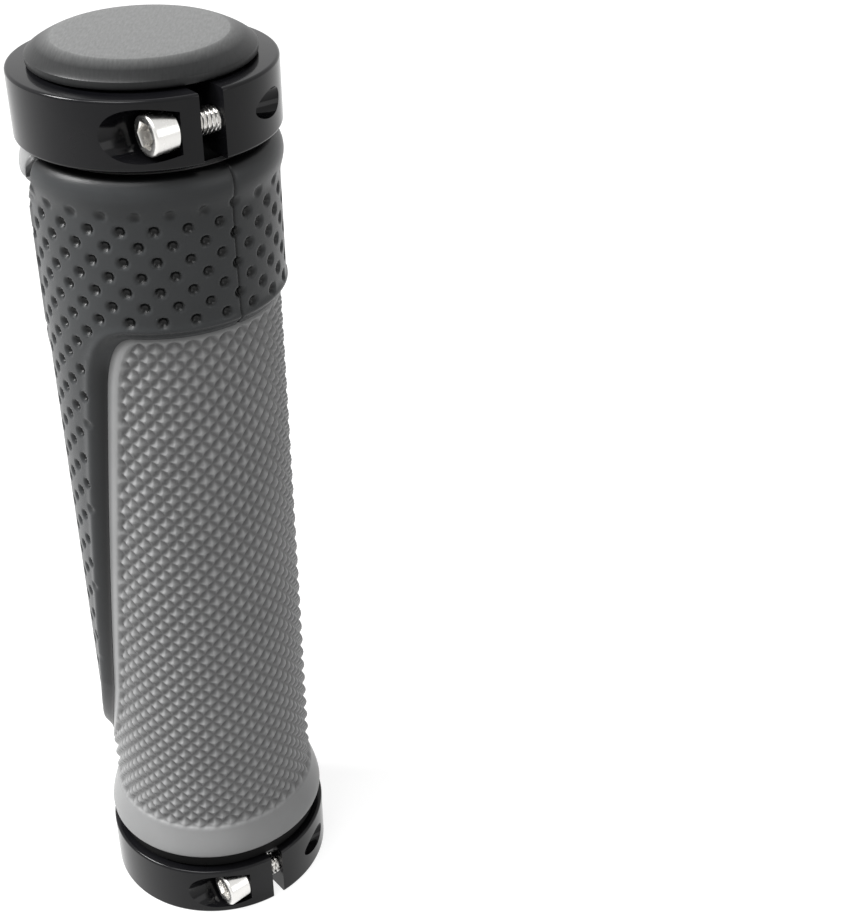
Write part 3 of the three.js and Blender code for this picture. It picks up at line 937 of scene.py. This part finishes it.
def sleeve_mesh(name):
    """A closed band whose end rows follow the teeth."""
    step = 360 / TEETH
    half_slot = (LUG_ANGLE + TOOTH_CLEARANCE) / 2
    even = np.arange(240) * 1.5
    flanks = [SLIT_AZIMUTH + (i + 0.5) * step + side * (half_slot + k) for i in range(TEETH)
              for side in (-1, 1) for k in (0, 0.05)]
    azimuth = np.sort(np.concatenate([even, np.array(flanks) % 360]))
    away = np.abs(nearest(azimuth - SLIT_AZIMUTH - step / 2, step))
    slot = (away <= half_slot + 1e-6)[:, None] * RECESS_DEPTH
    r, f, e = SLEEVE_RADIUS, FLANGE_RADIUS, SLEEVE_EDGE
    foot, top = sleeve_low[2] + slot, sleeve_high[2] - slot
    one = np.ones_like(slot)
    rows = [
        (BORE_RADIUS, foot), (r - e, foot), (r, foot + e), (r, FLANGE_FOOT * one),
        (f - e, FLANGE_FOOT * one), (f, (FLANGE_FOOT + e) * one), (f, (FLANGE_TOP - e) * one),
        (f - e, FLANGE_TOP * one), (r, FLANGE_TOP * one), (r, top - e), (r - e, top), (BORE_RADIUS, top),
    ]
    radius = np.concatenate([value * one for value, _ in rows], axis=1)
    height = np.concatenate([value for _, value in rows], axis=1)
    height[:, 3] = np.maximum(height[:, 3], height[:, 2] + 0.02)
    points = round_points(azimuth[:, None], radius, height)
    ids = np.arange(radius.size).reshape(radius.shape)
    mesh, _ = write_mesh(name, points.reshape(-1, 3), *grid_faces(ids, close_rows=True))
    return mesh


sleeve = add_object("sleeve", sleeve_mesh("sleeve"), 35)
print("sleeve:", len(sleeve.data.polygons), "faces")

# %% [markdown]
# Materials are built node by node. Two small helpers save most of the typing: one starts a node group
# with named inputs and outputs, and one makes a node and sets its values by name.

# %% Node helpers
def new_group(name, inputs, outputs):
    """An empty node group with float inputs and outputs. Inputs are (name, default) pairs."""
    group = bpy.data.node_groups.new(name, "ShaderNodeTree")
    for label, value in inputs:
        socket = group.interface.new_socket(label, in_out="INPUT", socket_type="NodeSocketFloat")
        socket.default_value = value
    for label in outputs:
        group.interface.new_socket(label, in_out="OUTPUT", socket_type="NodeSocketFloat")
    return group, group.nodes.new("NodeGroupInput"), group.nodes.new("NodeGroupOutput")


def node(tree, kind, **values):
    """A node with its settings and its unlinked sockets set by name."""
    made = tree.nodes.new(kind)
    for key, value in values.items():
        name = key.replace("_", " ")
        if hasattr(made, key):
            setattr(made, key, value)
        else:
            made.inputs[name.title() if name.title() in made.inputs else name].default_value = value
    return made


print("node helpers ready")

# %% [markdown]
# Two effects are shared by the finishes. Moulded grain is a fine noise that roughens a skin and shifts
# its colour a little. Recess shade is painted shade: it darkens a skin's colour where the stored shade
# level is low. Both are node groups that put out a height, a tone or a level, and the shader stays in
# each material.

# %% Shared effects
def moulded_grain():
    """Height and tone of a moulded skin: a fine noise for the grain and a broad one for the tone."""
    group, start, end = new_group("moulded_grain", [("Fine Scale", 9000.0), ("Broad Scale", 90.0)],
                                  ["Height", "Tone"])
    place = group.nodes.new("ShaderNodeTexCoord")
    fine = node(group, "ShaderNodeTexNoise", Detail=3.0, Roughness=0.6)
    broad = node(group, "ShaderNodeTexNoise", Detail=4.0, Roughness=0.55)
    group.links.new(place.outputs["Object"], fine.inputs["Vector"])
    group.links.new(place.outputs["Object"], broad.inputs["Vector"])
    group.links.new(start.outputs["Fine Scale"], fine.inputs["Scale"])
    group.links.new(start.outputs["Broad Scale"], broad.inputs["Scale"])
    group.links.new(fine.outputs["Fac"], end.inputs["Height"])
    group.links.new(broad.outputs["Fac"], end.inputs["Tone"])
    return group


GRAIN = moulded_grain()
SHADE_POWER = 0.9


def recess_shade():
    """A painted shade level that follows the stored level: level ^ 0.9, spread between Depth Level and 1.
    """
    group, start, end = new_group("recess_shade", [("Depth Level", 0.5)], ["Level"])
    shade_level = node(group, "ShaderNodeAttribute", attribute_name="shade_level")
    eased = node(group, "ShaderNodeMath", operation="POWER", use_clamp=True)
    eased.inputs[1].default_value = SHADE_POWER
    spread = node(group, "ShaderNodeMapRange")
    group.links.new(shade_level.outputs["Fac"], eased.inputs[0])
    group.links.new(eased.outputs["Value"], spread.inputs["Value"])
    group.links.new(start.outputs["Depth Level"], spread.inputs["To Min"])
    group.links.new(spread.outputs["Result"], end.inputs["Level"])
    return group


SHADE = recess_shade()
print("shared node groups:", GRAIN.name, "and", SHADE.name)

# %% [markdown]
# Every finish starts from a Principled shader with its constant values on its own sockets. A tone
# between two colours and a shallow bump are then linked to it.

# %% Material helpers
def new_material(name, base, roughness, **shader_values):
    """A material whose Principled shader has its constant values on its own sockets."""
    material = bpy.data.materials.new(name)
    material.use_nodes = True
    shader = material.node_tree.nodes["Principled BSDF"]
    shader.inputs["Base Color"].default_value = (*base, 1)
    shader.inputs["Roughness"].default_value = roughness
    for key, value in shader_values.items():
        shader.inputs[key.replace("_", " ")].default_value = value
    return material, material.node_tree, shader


def mix_tone(tree, factor, dark, light):
    """A colour between two, by a factor output."""
    ramp = tree.nodes.new("ShaderNodeValToRGB")
    ramp.color_ramp.elements[0].color = (*dark, 1)
    ramp.color_ramp.elements[1].color = (*light, 1)
    ramp.color_ramp.elements[0].position = 0.3
    ramp.color_ramp.elements[1].position = 0.7
    tree.links.new(factor, ramp.inputs["Fac"])
    return ramp.outputs["Color"]


def add_bump(tree, shader, height, strength, distance):
    """A bump of a height output, feeding the shader's normal. The distance is in metres."""
    bump = tree.nodes.new("ShaderNodeBump")
    bump.inputs["Strength"].default_value = strength
    bump.inputs["Distance"].default_value = distance
    tree.links.new(height, bump.inputs["Height"])
    tree.links.new(bump.outputs["Normal"], shader.inputs["Normal"])
    return bump


print("material helpers ready")

# %% [markdown]
# Moulded rubber is dull but not flat: a soft broad highlight, a fine grain from the mould and a slight
# drift of tone. Grooves, pits and the seam are painted darker: painted shade for the little light that
# gets in.
# The floors of the black rubber's dimples come smoother out of the mould and catch small highlights.

# %% Rubber finishes
def rubber(name, base, spread, roughness, grain, gloss, depth_level, floor_roughness=0.3):
    """A moulded skin. Its colour drifts by the spread and falls to the depth level in the recesses, which
    is painted shade. A dimple's floor has a roughness of its own."""
    material, tree, shader = new_material(name, base, roughness, Specular_IOR_Level=gloss)
    skin = tree.nodes.new("ShaderNodeGroup")
    skin.node_tree = GRAIN
    skin.inputs["Fine Scale"].default_value = grain
    shade = tree.nodes.new("ShaderNodeGroup")
    shade.node_tree = SHADE
    shade.inputs["Depth Level"].default_value = depth_level
    dark = [value * (1 - spread) for value in base]
    light = [min(1, value * (1 + spread)) for value in base]
    scaled = tree.nodes.new("ShaderNodeVectorMath")
    scaled.operation = "SCALE"
    tree.links.new(mix_tone(tree, skin.outputs["Tone"], dark, light), scaled.inputs[0])
    # Painted shade: the colour is scaled down where the stored level is low.
    tree.links.new(shade.outputs["Level"], scaled.inputs["Scale"])
    tree.links.new(scaled.outputs["Vector"], shader.inputs["Base Color"])
    shine = node(tree, "ShaderNodeAttribute", attribute_name="shine")
    polish = node(tree, "ShaderNodeMapRange")
    polish.inputs["To Min"].default_value = roughness
    polish.inputs["To Max"].default_value = floor_roughness
    tree.links.new(shine.outputs["Fac"], polish.inputs["Value"])
    tree.links.new(polish.outputs["Result"], shader.inputs["Roughness"])
    add_bump(tree, shader, skin.outputs["Height"], 0.35, 0.00006)
    return material


grey_finish = rubber("grey_moulded_rubber", (0.34, 0.342, 0.343), spread=0.07, roughness=0.36,
                     grain=6000.0, gloss=0.5, depth_level=0.28)
black_finish = rubber("black_moulded_rubber", (0.037, 0.039, 0.0405), spread=0.15, roughness=0.34,
                      grain=6000.0, gloss=0.22, depth_level=0.08, floor_roughness=0.22)
sleeve_finish = rubber("black_nylon", (0.003, 0.003, 0.003), spread=0.1, roughness=0.45,
                       grain=3000.0, gloss=0.05, depth_level=1.0)


print("rubber finishes:", grey_finish.name, black_finish.name, sleeve_finish.name)

# %% [markdown]
# The end plug is hard plastic. Its flat top is pale and the bevel round it dark, partly from a frosted
# top and partly painted light: the top painted as lit from above and the bevel as in shade. The surface's
# own direction tells them apart: the normal's Z is 1 on the flat and falls off on the bevel.

# %% Plug finish
def plug_plastic():
    """Charcoal plastic with a fine straight grain from front to back. The flat top is pale and the bevel
    and the side round it are dark, partly a frosted finish and partly painted light, lit top against
    shaded bevel."""
    # Painted light: the pale top colour and the dark bevel colour stand partly for lit and shaded faces.
    frosted_lit_top, plain = (0.145, 0.147, 0.146), (0.01, 0.0104, 0.0107)
    material, tree, shader = new_material("plug_plastic", frosted_lit_top, 0.38, Specular_IOR_Level=0.25)
    place = tree.nodes.new("ShaderNodeTexCoord")
    stretch = tree.nodes.new("ShaderNodeMapping")
    stretch.inputs["Scale"].default_value = (1, 0.22, 0.22)
    lines = node(tree, "ShaderNodeTexNoise", Scale=3600.0, Detail=3.0, Roughness=0.6)
    tree.links.new(place.outputs["Object"], stretch.inputs["Vector"])
    tree.links.new(stretch.outputs["Vector"], lines.inputs["Vector"])
    grain = lines.outputs["Fac"]
    parts = tree.nodes.new("ShaderNodeSeparateXYZ")
    shape = tree.nodes.new("ShaderNodeNewGeometry")
    flat = node(tree, "ShaderNodeMapRange")
    flat.inputs["From Min"].default_value = 0.88
    flat.inputs["From Max"].default_value = 0.985
    tree.links.new(shape.outputs["Normal"], parts.inputs["Vector"])
    tree.links.new(parts.outputs["Z"], flat.inputs["Value"])
    both = tree.nodes.new("ShaderNodeMix")
    both.data_type = "RGBA"
    tree.links.new(flat.outputs["Result"], both.inputs[0])
    tree.links.new(mix_tone(tree, grain, [0.8 * v for v in plain], [1.25 * v for v in plain]),
                   both.inputs[6])
    tree.links.new(mix_tone(tree, grain, [0.82 * v for v in frosted_lit_top], [1.2 * v for v in frosted_lit_top]),
                   both.inputs[7])
    tree.links.new(both.outputs[2], shader.inputs["Base Color"])
    add_bump(tree, shader, grain, 0.4, 0.00005)
    return material


plug_finish = plug_plastic()
print("plug finish:", plug_finish.name)

# %% [markdown]
# The rings are black anodised and glossy, with a grain too fine to see but for a soft stretch of the
# gloss. The screws are bright plated steel, which smears from fingers and tools make uneven.

# %% Metal finishes
def anodised():
    """Near-black dyed oxide over metal: a dielectric gloss with a very fine turning grain."""
    material, tree, shader = new_material("black_anodised", (0.006, 0.006, 0.007), 0.14,
                                          Specular_IOR_Level=0.18)
    skin = tree.nodes.new("ShaderNodeGroup")
    skin.node_tree = GRAIN
    skin.inputs["Fine Scale"].default_value = 4000.0
    tree.links.new(mix_tone(tree, skin.outputs["Tone"], (0.004, 0.004, 0.005), (0.008, 0.008, 0.009)),
                   shader.inputs["Base Color"])
    add_bump(tree, shader, skin.outputs["Height"], 0.04, 0.00002)
    return material


def plated_steel():
    """Bright nickel-plated steel with faint smears that change its roughness."""
    material, tree, shader = new_material("plated_steel", (0.72, 0.71, 0.69), 0.22, Metallic=1.0)
    skin = tree.nodes.new("ShaderNodeGroup")
    skin.node_tree = GRAIN
    skin.inputs["Broad Scale"].default_value = 900.0
    spread = node(tree, "ShaderNodeMapRange")
    spread.inputs["To Min"].default_value = 0.16
    spread.inputs["To Max"].default_value = 0.34
    tree.links.new(skin.outputs["Tone"], spread.inputs["Value"])
    tree.links.new(spread.outputs["Result"], shader.inputs["Roughness"])
    add_bump(tree, shader, skin.outputs["Height"], 0.1, 0.00002)
    return material


ring_finish = anodised()
screw_finish = plated_steel()
print("metal finishes:", ring_finish.name, screw_finish.name)

# %% [markdown]
# Now each surface takes its solid's place. Both screws turn, so each rides on its own body, and all the
# rest is one rigid grip.

# %% Pieces on their bodies
dress(grey_rubber, "grey_grip_rubber", "grip", grey_finish)
dress(black_rubber, "black_grip_rubber", "grip", black_finish)
dress(sleeve, "inner_sleeve", "grip", sleeve_finish)
dress(plug, "end_plug", "grip", plug_finish)
dress(lower_ring, "lower_clamp_ring", "grip", ring_finish)
dress(upper_ring, "upper_clamp_ring", "grip", ring_finish)
dress(lower_screw, "lower_clamp_screw", "lower_screw", screw_finish)
dress(upper_screw, "upper_clamp_screw", "upper_screw", screw_finish)

# %% [markdown]
# The camera stands where the photograph's did. Its place, pitch, roll and focal length come from fitting
# the edges of both rings, with their real diameter, to the picture's 850 x 913 pixels.

# %% Camera
CAMERA_PLACE = (0.034175, -0.193564, 0.193946)
CAMERA_PITCH = 31.87
CAMERA_ROLL = -0.535
FOCAL_PIXELS = 1606
IMAGE_HEIGHT = 913
SENSOR = 36

camera_data = bpy.data.cameras.new("camera")
camera_data.sensor_width = SENSOR
camera_data.lens = FOCAL_PIXELS * SENSOR / IMAGE_HEIGHT
camera_data.clip_start = 0.01
camera = bpy.data.objects.new("camera", camera_data)
bpy.context.scene.collection.objects.link(camera)
camera.matrix_world = (
    Matrix.Translation(Vector(CAMERA_PLACE))
    @ Matrix.Rotation(math.radians(90 - CAMERA_PITCH), 4, "X")
    @ Matrix.Rotation(math.radians(CAMERA_ROLL), 4, "Z")
)
bpy.context.scene.camera = camera
print(f"lens {camera_data.lens:.1f} mm")

# %% [markdown]
# A product shot on white: a pale floor that the camera sees as white, a soft key lamp high on the left,
# a larger one above and in front, a weak fill from the right, and an even pale world.

# %% Floor, light and world
FLOOR_SIZE = 3.0
FLOOR_GLOW = 0.86
WORLD_LIGHT = 0.25


def seen_directly(tree):
    """1 for what the camera sees, straight or in metal and glass, and 0 for the light on the object."""
    path = tree.nodes.new("ShaderNodeLightPath")
    total = path.outputs["Is Camera Ray"]
    for other in ("Is Glossy Ray", "Is Transmission Ray"):
        added = node(tree, "ShaderNodeMath", operation="ADD", use_clamp=True)
        tree.links.new(total, added.inputs[0])
        tree.links.new(path.outputs[other], added.inputs[1])
        total = added.outputs["Value"]
    return total


def floor_material():
    """White floor. Its own glow takes it to white where it is seen, and a faint shadow stays."""
    material, tree, shader = new_material("floor_white", (0.3, 0.3, 0.3), 0.9)
    shader.inputs["Specular IOR Level"].default_value = 0.0
    shader.inputs["Emission Color"].default_value = (1, 1, 1, 1)
    glow = node(tree, "ShaderNodeMath", operation="MULTIPLY")
    glow.inputs[1].default_value = FLOOR_GLOW
    tree.links.new(seen_directly(tree), glow.inputs[0])
    tree.links.new(glow.outputs["Value"], shader.inputs["Emission Strength"])
    return material


half = FLOOR_SIZE / 2 / MM
floor_points = np.array([[-half, -half, 0], [half, -half, 0], [half, half, 0], [-half, half, 0]])
floor_mesh, _ = write_mesh("floor", floor_points, np.array([[0, 1, 2, 3]]), np.empty((0, 3), int))
floor = add_object("floor", floor_mesh)
floor.data.materials.append(floor_material())


def soft_lamp(name, place, target, width, power):
    """A square lamp that looks at a point. Sizes in metres, power in watts."""
    data = bpy.data.lights.new(name, "AREA")
    data.size = width
    data.energy = power
    lamp = bpy.data.objects.new(name, data)
    bpy.context.scene.collection.objects.link(lamp)
    lamp.location = place
    lamp.rotation_euler = (Vector(target) - Vector(place)).to_track_quat("-Z", "Y").to_euler()
    return lamp


MIDDLE = (0, 0, 0.06)
soft_lamp("key", (-0.663, -0.105, 0.732), MIDDLE, 0.3, 11)
soft_lamp("top", (-0.27, -0.38, 0.94), MIDDLE, 0.5, 6)
soft_lamp("fill", (0.7, -0.35, 0.35), MIDDLE, 0.4, 0.8)

world = bpy.data.worlds.new("studio")
world.use_nodes = True
bpy.context.scene.world = world
backdrop = world.node_tree.nodes["Background"]
backdrop.inputs["Color"].default_value = (1, 1, 1, 1)
level = world.node_tree.nodes.new("ShaderNodeMapRange")
level.inputs["To Min"].default_value = WORLD_LIGHT
level.inputs["To Max"].default_value = 1.0
world.node_tree.links.new(seen_directly(world.node_tree), level.inputs["Value"])
world.node_tree.links.new(level.outputs["Result"], backdrop.inputs["Strength"])

bpy.context.scene.view_settings.view_transform = "Standard"
print("three soft lamps and a white floor")
